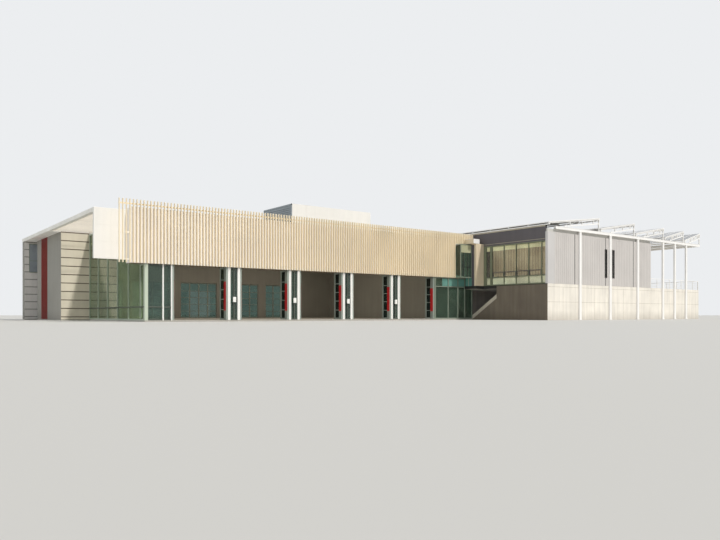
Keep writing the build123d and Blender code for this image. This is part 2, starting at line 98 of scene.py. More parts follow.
def start_material(name):
    """A new material with its node tree, its shader and the object's coordinates."""
    material = bpy.data.materials.new(name)
    material.use_nodes = True
    tree = material.node_tree
    place = node(tree, "ShaderNodeTexCoord").outputs["Object"]
    return material, tree, tree.nodes["Principled BSDF"], place


def patchy(tree, value, colour, darker, lighter):
    """The colour in cloudy patches, between a darker and a lighter shade."""
    base = linear(*colour)
    dark = tuple(channel * darker for channel in base)
    light = tuple(min(1.0, channel * lighter) for channel in base)
    return blend_colours(tree, spread(tree, value, 0.0, 1.0), dark, light)


def add_relief(tree, shader, height, strength, depth):
    bump = node(tree, "ShaderNodeBump", {"Height": height, "Strength": strength, "Distance": depth})
    tree.links.new(bump.outputs["Normal"], shader.inputs["Normal"])


# Materials
white = (1.0, 1.0, 1.0)
rain_stretch = (6.0, 6.0, 0.35)
dirt_colour = (92, 80, 64)
dirt_height = 0.45
least_rough = 0.02
worn = 0.07
grain_depth = 0.004
specular = 0.3


def finish(name, colour, rough, mottle, patch, streak, grain, bump,
           metal=0.0, coat=0.0, dirt=0.0, band=None):
    """A painted, cast or metal surface: patches, rain streaks, fine grain and worn gloss.

    mottle, streak and dirt are shares of the colour, patch and grain are noise scales, and band
    is another colour between two heights."""
    material, tree, shader, place = start_material(name)
    height = node(tree, "ShaderNodeSeparateXYZ", {"Vector": place}).outputs["Z"]
    large = noise(tree, place, patch, detail=5.0)
    shade = patchy(tree, large, colour, darker=1 - mottle, lighter=1 + mottle)
    if band:
        band_colour, low, high = band
        inside_band = node(tree, "ShaderNodeMath", {0: height, 1: (low + high) / 2,
                                                    2: (high - low) / 2}, operation="COMPARE")
        shade = blend_colours(tree, inside_band.outputs["Value"], shade, linear(*band_colour))
    stretched = node(tree, "ShaderNodeMapping", {"Vector": place, "Scale": rain_stretch})
    rain = noise(tree, stretched.outputs["Vector"], scale=1.0, detail=6.0)
    wet = tuple(channel * (1 - streak) for channel in white)
    streaks = blend_colours(tree, spread(tree, rain, 0.0, 1.0), white, wet)
    shade = blend_colours(tree, 1.0, shade, streaks, "MULTIPLY")
    if dirt:
        fall = node(tree, "ShaderNodeMapRange", {"Value": height, "From Min": 0.0,
                                                 "From Max": dirt_height, "To Min": dirt,
                                                 "To Max": 0.0})
        shade = blend_colours(tree, fall.outputs["Result"], shade, linear(*dirt_colour))
    tree.links.new(shade, shader.inputs["Base Color"])
    tree.links.new(spread(tree, large, max(least_rough, rough - worn), rough + worn),
                   shader.inputs["Roughness"])
    add_relief(tree, shader, noise(tree, place, grain, detail=4.0), bump, grain_depth)
    shader.inputs["Metallic"].default_value = metal
    shader.inputs["Coat Weight"].default_value = coat
    shader.inputs["Specular IOR Level"].default_value = specular
    return material


def paint(name, colour, family, **own):
    """A surface with its family's values, apart from those of its own."""
    return finish(name, colour, **{**family, **own})


def glazing(name, colour, see_through, ior):
    """Glass with faint waves, tinted through its colour."""
    material, tree, shader, place = start_material(name)
    large = noise(tree, place, scale=0.9, detail=3.0)
    shade = patchy(tree, large, colour, darker=0.82, lighter=1.15)
    tree.links.new(shade, shader.inputs["Base Color"])
    add_relief(tree, shader, large, strength=0.02, depth=0.02)
    shader.inputs["Roughness"].default_value = 0.02
    shader.inputs["IOR"].default_value = ior
    shader.inputs["Transmission Weight"].default_value = see_through
    return material


knee_rail = (0.515, 0.565)
# Heights where the header's underside is painted dark as shade
header_underside_painted_shade = (2.0, 2.108)
door_panel = (0.42, 1.55)

cast = dict(rough=0.85, mottle=0.1, patch=0.9, streak=0.2, grain=25.0, bump=0.5)
sheet = dict(rough=0.55, mottle=0.03, patch=0.5, streak=0.04, grain=50.0, bump=0.06)
board = dict(rough=0.65, mottle=0.06, patch=1.1, streak=0.07, grain=30.0, bump=0.2)
pale_board = dict(rough=0.6, mottle=0.05, patch=0.9, streak=0.06, grain=30.0, bump=0.15)
slim_bar = dict(rough=0.4, mottle=0.06, patch=1.2, streak=0.03, grain=80.0, bump=0.05)
door = dict(rough=0.4, mottle=0.05, patch=1.2, streak=0.03, grain=70.0, bump=0.05)
panel = dict(rough=0.5, mottle=0.05, patch=0.7, streak=0.07, grain=50.0, bump=0.08)
fabric = dict(rough=0.7, mottle=0.08, patch=1.4, streak=0.05, grain=50.0, bump=0.08)
recessed = dict(rough=0.7, mottle=0.1, patch=1.0, streak=0.05, grain=40.0, bump=0.1)
glossy = dict(rough=0.1, mottle=0.16, patch=1.6, streak=0.0, grain=60.0, bump=0.02, coat=0.5)

floor_paint = paint("floor_paint", (176, 172, 164), board, rough=0.5, mottle=0.12, patch=0.5,
                    streak=0.0, bump=0.15)
concrete = paint("concrete", (245, 239, 228), cast, mottle=0.09, streak=0.16, dirt=0.3)
concrete_seam = paint("concrete_seam", (196, 188, 172), cast, bump=0.3)
# The base's left side, painted darker as shade, with dirt towards the foot
concrete_side_painted_shade = paint("concrete_side_painted_shade", (118, 109, 96), cast, mottle=0.12, dirt=0.3)
# Its band paints the header's underside dark as shade
screen_back = paint("screen_back", (241, 237, 234), sheet, rough=0.6, mottle=0.05, streak=0.05,
                    grain=60.0, bump=0.08, band=((118, 104, 84), *header_underside_painted_shade))
fin_paint = paint("fin_paint", (250, 235, 206), sheet, rough=0.45, mottle=0.05, patch=0.8,
                  grain=60.0)
panel_white = paint("panel_white", (241, 238, 232), sheet)
wing_white = paint("wing_white", (206, 203, 201), sheet, mottle=0.04)
board_light = paint("board_light", (250, 247, 240), pale_board)
slat_paint = paint("slat_paint", (242, 234, 222), pale_board)
board_lapped = paint("board_lapped", (213, 205, 187), board)
# The recess's lapped boards, painted lighter than the porch's as light that the recess doesn't get
board_far_painted_light = paint("board_far_painted_light", (232, 228, 222), board)
board_grey = paint("board_grey", (157, 154, 146), board, patch=0.8, streak=0.08, dirt=0.2)
red_paint = paint("red_paint", (126, 36, 36), recessed, rough=0.45, mottle=0.08, patch=0.9,
                  streak=0.08)
roof_cover = paint("roof_cover", (200, 198, 192), cast, rough=0.8, mottle=0.045, patch=0.25,
                   streak=0.0, bump=0.3)
frame_metal = paint("frame_metal", (142, 152, 138), slim_bar, rough=0.35, metal=0.3)
frame_soft = paint("frame_soft", (166, 178, 160), slim_bar, band=((84, 90, 80), *knee_rail))
frame_dark = paint("frame_dark", (84, 90, 82), slim_bar)
frame_olive = paint("frame_olive", (116, 122, 100), slim_bar)
frame_pale = paint("frame_pale", (196, 206, 188), slim_bar, mottle=0.05)
trim_tan = paint("trim_tan", (176, 168, 150), slim_bar, rough=0.5, mottle=0.08, streak=0.06,
                 grain=60.0, bump=0.08)
frame_white = paint("frame_white", (244, 243, 238), door, mottle=0.03, patch=1.0, streak=0.04)
door_grey = paint("door_grey", (150, 160, 152), door)
door_paint = paint("door_paint", (142, 150, 142), door, band=((196, 34, 40), *door_panel))
steel_white = paint("steel_white", (250, 248, 245), door, mottle=0.03, patch=1.1, streak=0.05,
                    grain=60.0, bump=0.06)
beige = paint("beige", (228, 211, 182), panel, rough=0.6, patch=0.8, bump=0.1)
fascia_dark = paint("fascia_dark", (94, 90, 93), panel, rough=0.45, mottle=0.07, streak=0.08)
rib_paint = paint("rib_paint", (209, 204, 200), panel)
# The white box's left side, painted blue-grey as shade
louvre_painted_shade = paint("louvre_painted_shade", (152, 159, 164), panel, mottle=0.06, patch=1.0, streak=0.06)
cell_dark = paint("cell_dark", (34, 40, 52), glossy, rough=0.12, mottle=0.15, patch=2.5,
                  streak=0.03, grain=90.0, bump=0.03)
pale_back = paint("pale_back", (214, 214, 208), glossy, rough=0.5, mottle=0.05, patch=1.5,
                  streak=0.03, bump=0.05, coat=0.0)
teal = paint("teal", (100, 148, 138), glossy, rough=0.35, mottle=0.1, streak=0.05, bump=0.04,
             coat=0.4)
# An opaque pane painted with a reflection of the sky
painted_sky_reflection = paint("painted_sky_reflection", (158, 166, 172), glossy)
lap_gap = paint("lap_gap", (112, 102, 90), recessed)
# Dark paint for bars, frames and joints, also used as painted shade behind the slot and on the slab's
# edge
dark_paint_and_painted_shade = paint("dark_paint_and_painted_shade", (46, 45, 43), recessed)
blind = paint("blind", (190, 176, 150), fabric)
# The same blind fabric, painted darker as shade on the turned slats
blind_painted_shade = paint("blind_painted_shade", (164, 150, 126), fabric)
blind_light = paint("blind_light", (240, 240, 204), fabric, rough=0.6, mottle=0.06, bump=0.05)
blind_soft = paint("blind_soft", (176, 176, 144), fabric, rough=0.3, mottle=0.06, bump=0.02,
                   coat=0.5)
spandrel = paint("spandrel", (236, 241, 222), fabric, rough=0.3, mottle=0.06, patch=1.3,
                 streak=0.04, bump=0.04, coat=0.4)
clear = glazing("clear", (126, 152, 138), see_through=0.9, ior=1.45)
dusk_glass = glazing("dusk_glass", (84, 104, 96), see_through=0.9, ior=1.45)
mirror_green = glazing("mirror_green", (168, 184, 152), see_through=0.85, ior=1.6)
brown_glass = glazing("brown_glass", (244, 240, 228), see_through=0.95, ior=1.35)

# Each node takes its slot's material, and some nodes one of their own
slot_materials = {
    "concrete_floor": floor_paint, "cast_concrete": concrete, "screen_backing": screen_back,
    "screen_fins": fin_paint, "white_panel": panel_white, "light_boards": board_light,
    "lapped_boards": board_lapped, "grey_boards": board_grey, "red_panel": red_paint,
    "roof_sheet": roof_cover, "window_frames": frame_metal, "white_frames": frame_white,
    "door_frames": door_paint, "clear_glass": clear, "beige_panel": beige,
    "dark_fascia": fascia_dark, "ribbed_panel": rib_paint, "white_steel": steel_white,
    "canopy_panel": cell_dark,
}
node_materials = {
    "lobby_side_frame": frame_soft, "wing_corner_panel": wing_white,
    "wing_side_glass": brown_glass, "link_beam": beige, "rear_doors": door_grey,
    "left_soffit": slat_paint, "door_glass": dusk_glass, "wing_side_frame": frame_olive,
    **{f"bay_{number}_doors": door_grey for number in bays},
}
for part in frame["record"]["subparts"]:
    carried = frame["nodes"][part["node"]]
    carried.data.materials.clear()
    carried.data.materials.append(
        node_materials.get(part["node"], slot_materials[part["material_slot"]]))
for name in ("wing_side_glass", "wing_window_glass", "door_glass", "left_soffit"):
    frame["nodes"][name].visible_shadow = False


# Places: a stretch is a low and a high value on one axis
def span(name):
    """The stretches of a CAD node on x, y and z."""
    low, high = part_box(name)
    return list(zip(low, high))


def inset(stretch, margin):
    return stretch[0] + margin, stretch[1] - margin


def around(middle, half):
    return middle - half, middle + half


def ends(stretch, width):
    """The two end parts of a stretch."""
    return [(stretch[0], stretch[0] + width), (stretch[1] - width, stretch[1])]


def on_top(stretch, thickness):
    return stretch[1], stretch[1] + thickness


def cuts(low, high, count, gap):
    """Equal stretches from low to high with an open joint between them."""
    size = (high - low - gap * (count - 1)) / count
    return [(low + index * (size + gap), low + index * (size + gap) + size)
            for index in range(count)]


def between(low, high, joints, gap):
    """The stretches that joints of one width leave from low to high."""
    lows = [low, *(joint + gap / 2 for joint in joints)]
    highs = [*(joint - gap / 2 for joint in joints), high]
    return list(zip(lows, highs))


# Meshes: a box is three stretches, and a prism is an outline with its way
def x_prism(x, outline):
    """A prism along x on an outline of y and z."""
    return [(x[0], y, z) for y, z in outline], (x[1] - x[0], 0, 0)


def y_prism(y, outline):
    """A prism along y on an outline of x and z."""
    return [(x, y[0], z) for x, z in outline], (0, y[1] - y[0], 0)


def add_prism(mesh, outline, way):
    low = [mesh.verts.new(point) for point in outline]
    high = [mesh.verts.new(Vector(point) + Vector(way)) for point in outline]
    mesh.faces.new(low)
    mesh.faces.new(reversed(high))
    count = len(outline)
    for index in range(count):
        after = (index + 1) % count
        mesh.faces.new((low[after], low[index], high[index], high[after]))


def add_box(mesh, x, y, z):
    outline = [(x[0], y[0], z[0]), (x[1], y[0], z[0]), (x[1], y[1], z[0]), (x[0], y[1], z[0])]
    add_prism(mesh, outline, (0, 0, z[1] - z[0]))


def piece(name, material, boxes=(), prisms=(), bevel=0.0, stands_for=(), shadow=True):
    """One named piece of boxes and prisms, with its edges rounded. Its glass casts no shadow."""
    mesh = bmesh.new()
    for x, y, z in boxes:
        add_box(mesh, sorted(x), sorted(y), sorted(z))
    for outline, way in prisms:
        add_prism(mesh, outline, way)
    bmesh.ops.recalc_face_normals(mesh, faces=mesh.faces)
    data = bpy.data.meshes.new(name)
    mesh.to_mesh(data)
    mesh.free()
    data.materials.append(material)
    made = bpy.data.objects.new(name, data)
    scene.collection.objects.link(made)
    if bevel:
        rounded = made.modifiers.new("edge", "BEVEL")
        rounded.width = bevel
        rounded.segments = 1
    made.visible_shadow = shadow and material not in (clear, mirror_green)
    if stands_for:
        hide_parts(*stands_for)
    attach(made, "root")


def front_sheets(face, x_parts, z_parts, depth=0.005):
    return [(x, (face - depth, face), z) for x in x_parts for z in z_parts]


def side_sheets(face, y_parts, z_parts, depth=0.005):
    return [((face - depth, face), y, z) for y in y_parts for z in z_parts]


def window_bars(x, y, z, upright, level):
    """The uprights and the level bars round a window in a wall along x."""
    return [(part, y, z) for part in ends(x, upright)] + [(x, y, part) for part in ends(z, level)]


# Sizes that several sections share
pane = 0.012
rail = 0.05
sheet_gap = 0.006
wide_sheet_gap = 0.008
board_gap = 0.012
board_depth = 0.012
board_width = 0.2
thin_board = 0.008
cladding = 0.01
backing = 0.002
cover = 0.012
hair_edge = 0.0005
fine_edge = 0.001
board_edge = 0.0015
bar_edge = 0.002
post_edge = 0.003
soft_edge = 0.004


def pane_in(depth):
    """A pane in the middle of its frame's depth."""
    return around((depth[0] + depth[1]) / 2, pane / 2)


# Fins and their rails; those beside the header cast no shadow on the white panel
screen_x, screen_y, screen_z = span("fin_screen")
header_x, header_y, header_z = span("front_header")
upper_x, upper_y, upper_z = span("upper_window_frame")
header_face = header_y[0]
fin_pitch = 0.125
fin_width = 0.025
foot_over_window = 3.825
top_rail = (4.175, 4.225)
white_rails = ((2.2, 2.25), (3.15, 3.2))
fin_room = screen_x[1] - screen_x[0] - fin_width
end_fins, fins = [], []
for index in range(round(fin_room / fin_pitch) + 1):
    left = screen_x[0] + index * fin_pitch
    right = left + fin_width
    foot = foot_over_window if right > upper_x[0] else screen_z[0]
    group = end_fins if left < header_x[0] else fins
    group.append(((left, right), (screen_y[0], header_face), (foot, screen_z[1])))
end_x = (screen_x[0], header_x[0])
rail_y = (header_face, screen_y[1])
end_fins.append((end_x, rail_y, top_rail))
fins.append(((header_x[0], screen_x[1]), rail_y, top_rail))
piece("screen_fins", fin_paint, fins, bevel=bar_edge, stands_for=["fin_screen"])
piece("screen_end_fins", fin_paint, end_fins, bevel=bar_edge,
      stands_for=["fin_screen"], shadow=False)
piece("screen_end_rails", panel_white, [(end_x, rail_y, z) for z in white_rails],
      bevel=bar_edge, stands_for=["fin_screen"], shadow=False)

# Corner panel and roof edge at the left end
corner_x, corner_y, corner_z = span("corner_panel")
piece("corner_facing", panel_white,
      front_sheets(corner_y[0], cuts(*corner_x, 2, sheet_gap), cuts(*corner_z, 3, sheet_gap)),
      bevel=fine_edge)

band_x, band_y, band_z = span("left_roof_band")
band_face, band_core = (band_x[0], band_x[0] + board_depth), (band_x[0] + board_depth, band_x[1])
piece("roof_band_boards", board_light,
      [(band_face, band_y, z) for z in cuts(*band_z, 3, board_gap)]
      + [(band_core, band_y, band_z)], bevel=board_edge, stands_for=["left_roof_band"])

# Soffit over the porch and over the recess at the back
soffit_x, soffit_z = span("left_soffit")[::2]
lap_x, lap_y, lap_z = span("lapped_wall")
wall_x, wall_y, wall_z = span("left_wall")
strip_x, strip_y, strip_z = span("red_strip")
side_face = strip_x[1]
recess_front = 7.85
back_return = 0.45
recess_back = wall_y[1] - back_return
recess_end = recess_back - 0.03
soffit_margin = 0.01
soffit_face = (soffit_z[0] - cladding, soffit_z[0])
porch_parts = cuts(lap_y[0] + soffit_margin, recess_front - 2 * soffit_margin, 18, board_gap)
recess_parts = cuts(recess_front + soffit_margin, recess_end, 2, board_gap)
piece("soffit_boards", board_light,
      [((soffit_x[0], side_face), y, soffit_face) for y in porch_parts]
      + [(soffit_x, y, soffit_face) for y in recess_parts], bevel=board_edge)

# Lapped walls that face the front, at the porch and in the recess
first_course = 0.36
course = 0.37
lowest_course = 0.05
lap_shadow = 0.04
lap_thin = 0.006
lap_reach = 0.025
last_reach = 0.022
lap_backing = 0.003


def lapped_courses(x, face, z):
    """Courses of boards that each lean out over a shadow gap below."""
    prisms = []

    def add_course(low, high, reach):
        head = high - lap_shadow
        outline = [(face, head), (face - lap_thin, head), (face - reach, low), (face, low)]
        prisms.append(x_prism(x, outline))

    high = z[1] - board_gap
    low = high - first_course
    while low > z[0] + lowest_course:
        add_course(low, high, lap_reach)
        high = low
        low -= course
    add_course(z[0], high, last_reach)
    return prisms


piece("lapped_courses", board_lapped,
      prisms=lapped_courses(lap_x, lap_y[0], lap_z))
piece("lapped_shadow", lap_gap,
      [(lap_x, (lap_y[0] - lap_backing, lap_y[0]), lap_z)], bevel=fine_edge)
# These boards are painted lighter as light that the recess doesn't get
piece("recess_courses", board_far_painted_light,
      prisms=lapped_courses((wall_x[0], lap_x[1]), recess_back, wall_z))

# Window in the recess, with an opaque pane painted with a reflection of the sky
window_x = (-16.2, -15.5)
window_y = (recess_back - 0.035, recess_back)
window_z = (2.35, 3.78)
window_transom = (2.92, 2.95)
window_pane_y = (window_y[0] + 0.008, window_y[0] + 0.014)
pane_rim = 0.02
piece("recess_window_frame", frame_metal,
      window_bars(window_x, window_y, window_z, upright=0.03, level=0.04)
      + [(window_x, window_y, window_transom)], bevel=bar_edge)
piece("recess_window_pane", painted_sky_reflection,
      [(inset(window_x, pane_rim), window_pane_y, inset(window_z, pane_rim))],
      bevel=fine_edge)

# Boards and ribs on the side walls
before_strip = (lap_y[0], strip_y[0])
behind_strip = (strip_y[1], recess_front)
strip_ribs = 9
strip_rib_gap = 0.04
strip_margin = 0.01
side_boards = []
for face, y, count in ((side_face, before_strip, 12), (side_face, behind_strip, 4),
                       (wall_x[0], (recess_back, wall_y[1]), 2)):
    side_boards += side_sheets(face, cuts(*y, count, board_gap), [wall_z], cladding)
piece("side_wall_boards", board_grey, side_boards, bevel=board_edge)
piece("strip_ribs", red_paint,
      side_sheets(strip_x[0], cuts(*inset(strip_y, strip_margin), strip_ribs, strip_rib_gap),
                  [strip_z], thin_board), bevel=bar_edge)
piece("recess_side_boards", board_grey,
      side_sheets(lap_x[1], cuts(recess_front, recess_end, 12, board_gap), [wall_z], thin_board),
      bevel=board_edge)

# Glass at ground level: lobby, piers and entry
side_x, side_y, side_z = span("lobby_side_frame")
lobby_x, lobby_y, lobby_z = span("lobby_front_frame")
entry_x, entry_y = span("entry_frame")[:2]
bay_lefts = [span(f"bay_{number}_doors")[0][0] for number in bays]
bay_width = span("bay_1_doors")[0][1] - bay_lefts[0]
bay_pitch = bay_lefts[1] - bay_lefts[0]
piers = [(left + bay_width, left + bay_pitch) for left in bay_lefts[:-1]]
pier_post = 0.11
corner_post = (lobby_x[0], lobby_x[0] + 0.12)
lobby_post = lobby_x[0] + 0.675
lobby_end = lobby_x[1] - rail
pane_x = pane_in(side_x)
pane_y = pane_in(lobby_y)
pane_z = inset(lobby_z, rail)
sill, head = ends(lobby_z, rail)
low_panes_end = header_y[1] + 0.01
piece("lobby_side_panes", mirror_green, [
    (pane_x, (side_y[0] + rail, low_panes_end), pane_z),
    (pane_x, (low_panes_end, side_y[1] - rail), inset(side_z, rail)),
], bevel=fine_edge, stands_for=["front_glass"])
piece("lobby_corner_post", frame_pale, [(corner_post, lobby_y, lobby_z)],
      bevel=soft_edge, stands_for=["lobby_front_frame"])
piece("lobby_posts", frame_white,
      [(x, lobby_y, lobby_z) for x in (around(lobby_post, rail / 2), (lobby_end, lobby_x[1]))],
      bevel=post_edge, stands_for=["lobby_front_frame"])
piece("lobby_rails", frame_dark,
      [(x, lobby_y, z) for x in between(corner_post[1], lobby_end, [lobby_post], rail)
       for z in (sill, knee_rail, head)], bevel=post_edge, stands_for=["lobby_front_frame"])
panes_x = [(corner_post[1], lobby_end)]
panes_x += [inset(pier, pier_post) for pier in piers]
panes_x.append((entry_x[0] + pier_post, entry_x[1] - rail))
piece("front_panes", clear, [(x, pane_y, pane_z) for x in panes_x],
      bevel=fine_edge, stands_for=["front_glass"])

# Glazed box beside the link, with a blind in the pane's place at its top
upper_frame = 0.04
room_x, room_y, room_z = (inset(stretch, upper_frame) for stretch in (upper_x, upper_y, upper_z))
blind_foot = 3.36
blind_gap = 0.002
front_pane = pane_in((upper_y[0], room_y[0]))
left_pane = pane_in((upper_x[0], room_x[0]))
piece("upper_panes", clear,
      [(room_x, front_pane, (room_z[0], blind_foot)), (left_pane, room_y, room_z)],
      bevel=fine_edge, stands_for=["front_glass"])
piece("upper_blind", blind_soft,
      [(x, front_pane, (blind_foot + blind_gap, room_z[1])) for x in cuts(*room_x, 2, wide_sheet_gap)],
      bevel=fine_edge, stands_for=["front_glass"])
upright_lefts = (room_x[0] + 0.17, room_x[0] + 0.46)
upright_width = 0.025
upper_bar_y = (upper_y[0] + 0.005, room_y[0])
upper_transom = (2.62, 2.645)
piece("upper_bars", dark_paint_and_painted_shade,
      [((x, x + upright_width), upper_bar_y, (room_z[0], blind_foot)) for x in upright_lefts]
      + [(room_x, upper_bar_y, upper_transom)], bevel=bar_edge)

# Header behind the fins
header_foot = 2.115
header_joint = 3.095
header_gap = 0.01
header_sheet = 0.003
header_rows = between(header_foot, header_z[1] - header_gap, [header_joint], header_gap)
piece("header_sheets", screen_back,
      front_sheets(header_face, cuts(header_x[0], upper_x[0], 13, wide_sheet_gap), header_rows,
                   header_sheet), bevel=fine_edge)
coping_front, coping_back = header_face - 0.005, header_face + 0.15
coping_drop = 0.06
piece("header_coping", board_light, [
    (header_x, (coping_front, coping_back), on_top(header_z, cover)),
    (header_x, (coping_back - cover, coping_back), (header_z[1] - coping_drop, header_z[1])),
], bevel=bar_edge)

# Folding doors: bars across the leaves, and a strip and a red panel on the inner leaves
leaf_depth = 0.035
leaf_step = 0.0353
stack = leaf_step + leaf_depth
leaves = 4
leaf_rim = 0.03
bar_inset = 0.006
bar_levels = [around(level, 0.014) for level in (0.46, 0.86, 1.24, 1.62)]
plate = 0.004
strip_width = 0.1
panel_width = 0.19
leaf_bars, leaf_strips, leaf_panels = [], [], []
for number in bays:
    leaf_x, leaf_y, leaf_z = span(f"bay_{number}_doors")
    bar_y = inset(leaf_y, leaf_rim)
    for left in (leaf_x[0], leaf_x[0] + leaf_step, leaf_x[1] - leaf_depth, leaf_x[1] - stack):
        bar_x = inset((left, left + leaf_depth), bar_inset)
        leaf_bars += [(bar_x, bar_y, z) for z in bar_levels]
    for left in (leaf_x[0] + stack, leaf_x[1] - stack - plate):
        leaf_strips.append(((left, left + plate), (leaf_y[1] - strip_width, leaf_y[1]), leaf_z))
        leaf_panels.append(((left, left + plate), (leaf_y[0], leaf_y[0] + panel_width), leaf_z))
piece("leaf_strips", door_grey, leaf_strips, bevel=fine_edge)
piece("leaf_panels", door_paint, leaf_panels, bevel=fine_edge)
rear_y, rear_z = span("rear_doors")[1:]
for left in bay_lefts:
    for leaf in cuts(left, left + bay_width, leaves, 0.0):
        leaf_bars += [(inset(leaf, leaf_rim), inset(rear_y, bar_inset), z) for z in bar_levels]
piece("door_bars", door_grey, leaf_bars, bevel=bar_edge)

# Piers between the bays, and the covers of the boxes on them
pier_y, pier_z = span("bay_piers")[1:]
pier_box_y, pier_box_z = span("pier_boxes")[1:]
cover_left, cover_right = 0.075, 0.055
cover_margin = 0.015
posts, slim_posts, covers = [], [], []
for pier in piers:
    middle = (pier[0] + pier[1]) / 2
    posts += [(x, pier_y, pier_z) for x in ends(pier, pier_post)]
    slim_posts += [(inset(pier, pier_post), pier_y, z) for z in (sill, head)]
    slim_posts.append((around(middle, rail / 2), pier_y, pane_z))
    covers.append(((middle - cover_left, middle + cover_right),
                   (pier_box_y[0] - cover, pier_box_y[0]), inset(pier_box_z, -cover_margin)))
piece("pier_posts", frame_white, posts, bevel=post_edge, stands_for=["bay_piers"])
piece("pier_slim_posts", frame_dark, slim_posts, bevel=post_edge,
      stands_for=["bay_piers"])
piece("box_covers", frame_white, covers, bevel=soft_edge)

# Panels over the entry's doors
entry_posts = [entry_x[0] + distance for distance in (0.965, 1.645, 2.145)]
transom_left = entry_x[0] + 0.57
transom_y = (entry_y[0] + 0.025, entry_y[0] + 0.04)
transom_z = (1.68, 2.05)
piece("entry_transom_panels", teal,
      [(x, transom_y, transom_z)
       for x in between(transom_left, entry_x[1] - rail, entry_posts, rail)], bevel=bar_edge)

# Seams of the main roof
roof_x, roof_y, roof_z = span("main_roof")
box_x, box_y, box_z = span("roof_box")
roof_fields = 12
seam_half = 0.012
seam_height = 0.008
seam_room = 0.02
roof_seams = []
for index in range(1, roof_fields):
    middle = roof_y[0] + index * (roof_y[1] - roof_y[0]) / roof_fields
    stretches = [roof_x]
    if box_y[0] - seam_room < middle < box_y[1] + seam_room:
        stretches = [(roof_x[0], box_x[0]), (box_x[1], roof_x[1])]
    roof_seams += [(x, around(middle, seam_half), on_top(roof_z, seam_height)) for x in stretches]
piece("roof_seams", roof_cover, roof_seams, bevel=bar_edge)

# Rear wall, cut where its doors are
rear_wall_x, rear_wall_y, rear_wall_z = span("rear_wall")
board_face = rear_wall_y[1] - board_depth
backing_face = board_face - backing
edges = [rear_wall_x[0]]
for left in bay_lefts:
    edges += [left, left + bay_width]
edges.append(rear_wall_x[1])
rear_core, rear_gaps, rear_boards = [], [], []
for index, stretch in enumerate(zip(edges, edges[1:])):
    over_door = index % 2 == 1
    z = (rear_z[1], rear_wall_z[1]) if over_door else rear_wall_z
    rear_core.append((stretch, (rear_wall_y[0], backing_face), z))
    rear_gaps.append((stretch, (backing_face, board_face), z))
    count = max(1, round((stretch[1] - stretch[0]) / board_width))
    rear_boards += [(x, (board_face, rear_wall_y[1]), z) for x in cuts(*stretch, count, board_gap)]
piece("rear_wall_core", board_grey, rear_core, bevel=hair_edge,
      stands_for=["rear_wall"])
piece("rear_wall_gaps", dark_paint_and_painted_shade, rear_gaps, stands_for=["rear_wall"])
piece("rear_wall_boards", board_grey, rear_boards, bevel=board_edge,
      stands_for=["rear_wall"])

# Right wall, the dark joints behind the side boards, and the walls' copings
right_x, right_y, right_z = span("right_wall")
wing_back = span("wing_back_wall")[1][1]
boarded_y = (wing_back + 0.01, right_y[1])
count = round((right_y[1] - wing_back) / board_width)
piece("right_wall_boards", board_grey,
      [(on_top(right_x, cladding), y, right_z) for y in cuts(*boarded_y, count, board_gap)],
      bevel=board_edge)
piece("wall_board_gaps", dark_paint_and_painted_shade,
      [(on_top(right_x, backing), boarded_y, right_z)]
      + side_sheets(side_face, [before_strip, behind_strip], [wall_z], backing))
lip, thin_lip = 0.015, 0.01
piece("wall_copings", board_light, [
    ((rear_wall_x[0], right_x[1]), (rear_wall_y[0] - lip, rear_wall_y[1]),
     on_top(rear_wall_z, cover)),
    ((right_x[0] - lip, right_x[1]), (header_y[1], rear_wall_y[0]), on_top(right_z, cover)),
    ((band_x[0], band_x[1] + thin_lip), band_y, on_top(band_z, thin_lip)),
    (corner_x, (corner_y[0], corner_y[1] + thin_lip), on_top(corner_z, thin_lip)),
], bevel=bar_edge)

# Louvres and sheets of the roof box; the louvres on its left side are painted blue-grey as shade
louvre_x = (box_x[0] - 0.03, box_x[0])
louvre_rim = 0.06
box_sheet = 0.006
louvre_y = inset(box_y, louvre_rim)
slat_count = 13
first_slat = 0.08
slat_rise = 0.045
slat_thin = 0.012
slat_thick = 0.015
louvre_backing = 0.004
slat_pitch = (box_z[1] - box_z[0] - 2 * first_slat) / slat_count
louvre_slats = []
for index in range(slat_count):
    foot = box_z[0] + first_slat + index * slat_pitch
    back_foot = foot + slat_rise
    outline = [(louvre_x[0], foot), (louvre_x[0], foot + slat_thin),
               (louvre_x[1], back_foot + slat_thick), (louvre_x[1], back_foot)]
    louvre_slats.append(y_prism(louvre_y, outline))
piece("box_louvres", louvre_painted_shade, [
    *((louvre_x, y, box_z) for y in ends(box_y, louvre_rim)),
    *((louvre_x, box_y, z) for z in ends(box_z, louvre_rim)),
    ((box_x[0] - louvre_backing, box_x[0]), box_y, box_z),
], louvre_slats)
piece("box_sheets", panel_white,
      front_sheets(box_y[0], cuts(*box_x, 6, wide_sheet_gap), [box_z], box_sheet),
      bevel=board_edge)

# Left side of the wing's base, with its face painted darker as shade and dirt towards the foot, and
# its sloped coping
base_x, base_y, base_z = span("wing_base")
slab_y, slab_z = span("wing_floor")[1:]
bank_front, bank_back = -5.755, -3.775
bank_top = 1.265
coping_height = 0.2
coping_foot = 0.313
side_top = slab_z[1] - 0.03
facing_x = (base_x[0] - 0.006, base_x[0])
coping_x = (base_x[0] - 0.014, base_x[0] + 0.15)
piece("base_side_painted_shade", concrete_side_painted_shade, prisms=[
    x_prism(facing_x, [(base_y[0], 0.0), (base_y[0], side_top), (bank_front, side_top),
                       (bank_front, bank_top), (bank_back, 0.0)]),
])
piece("bank_coping", concrete_seam, prisms=[
    x_prism(coping_x, [(bank_front, bank_top), (bank_front, bank_top - coping_height),
                       (bank_back - coping_foot, 0.0), (bank_back, 0.0)]),
], bevel=soft_edge)

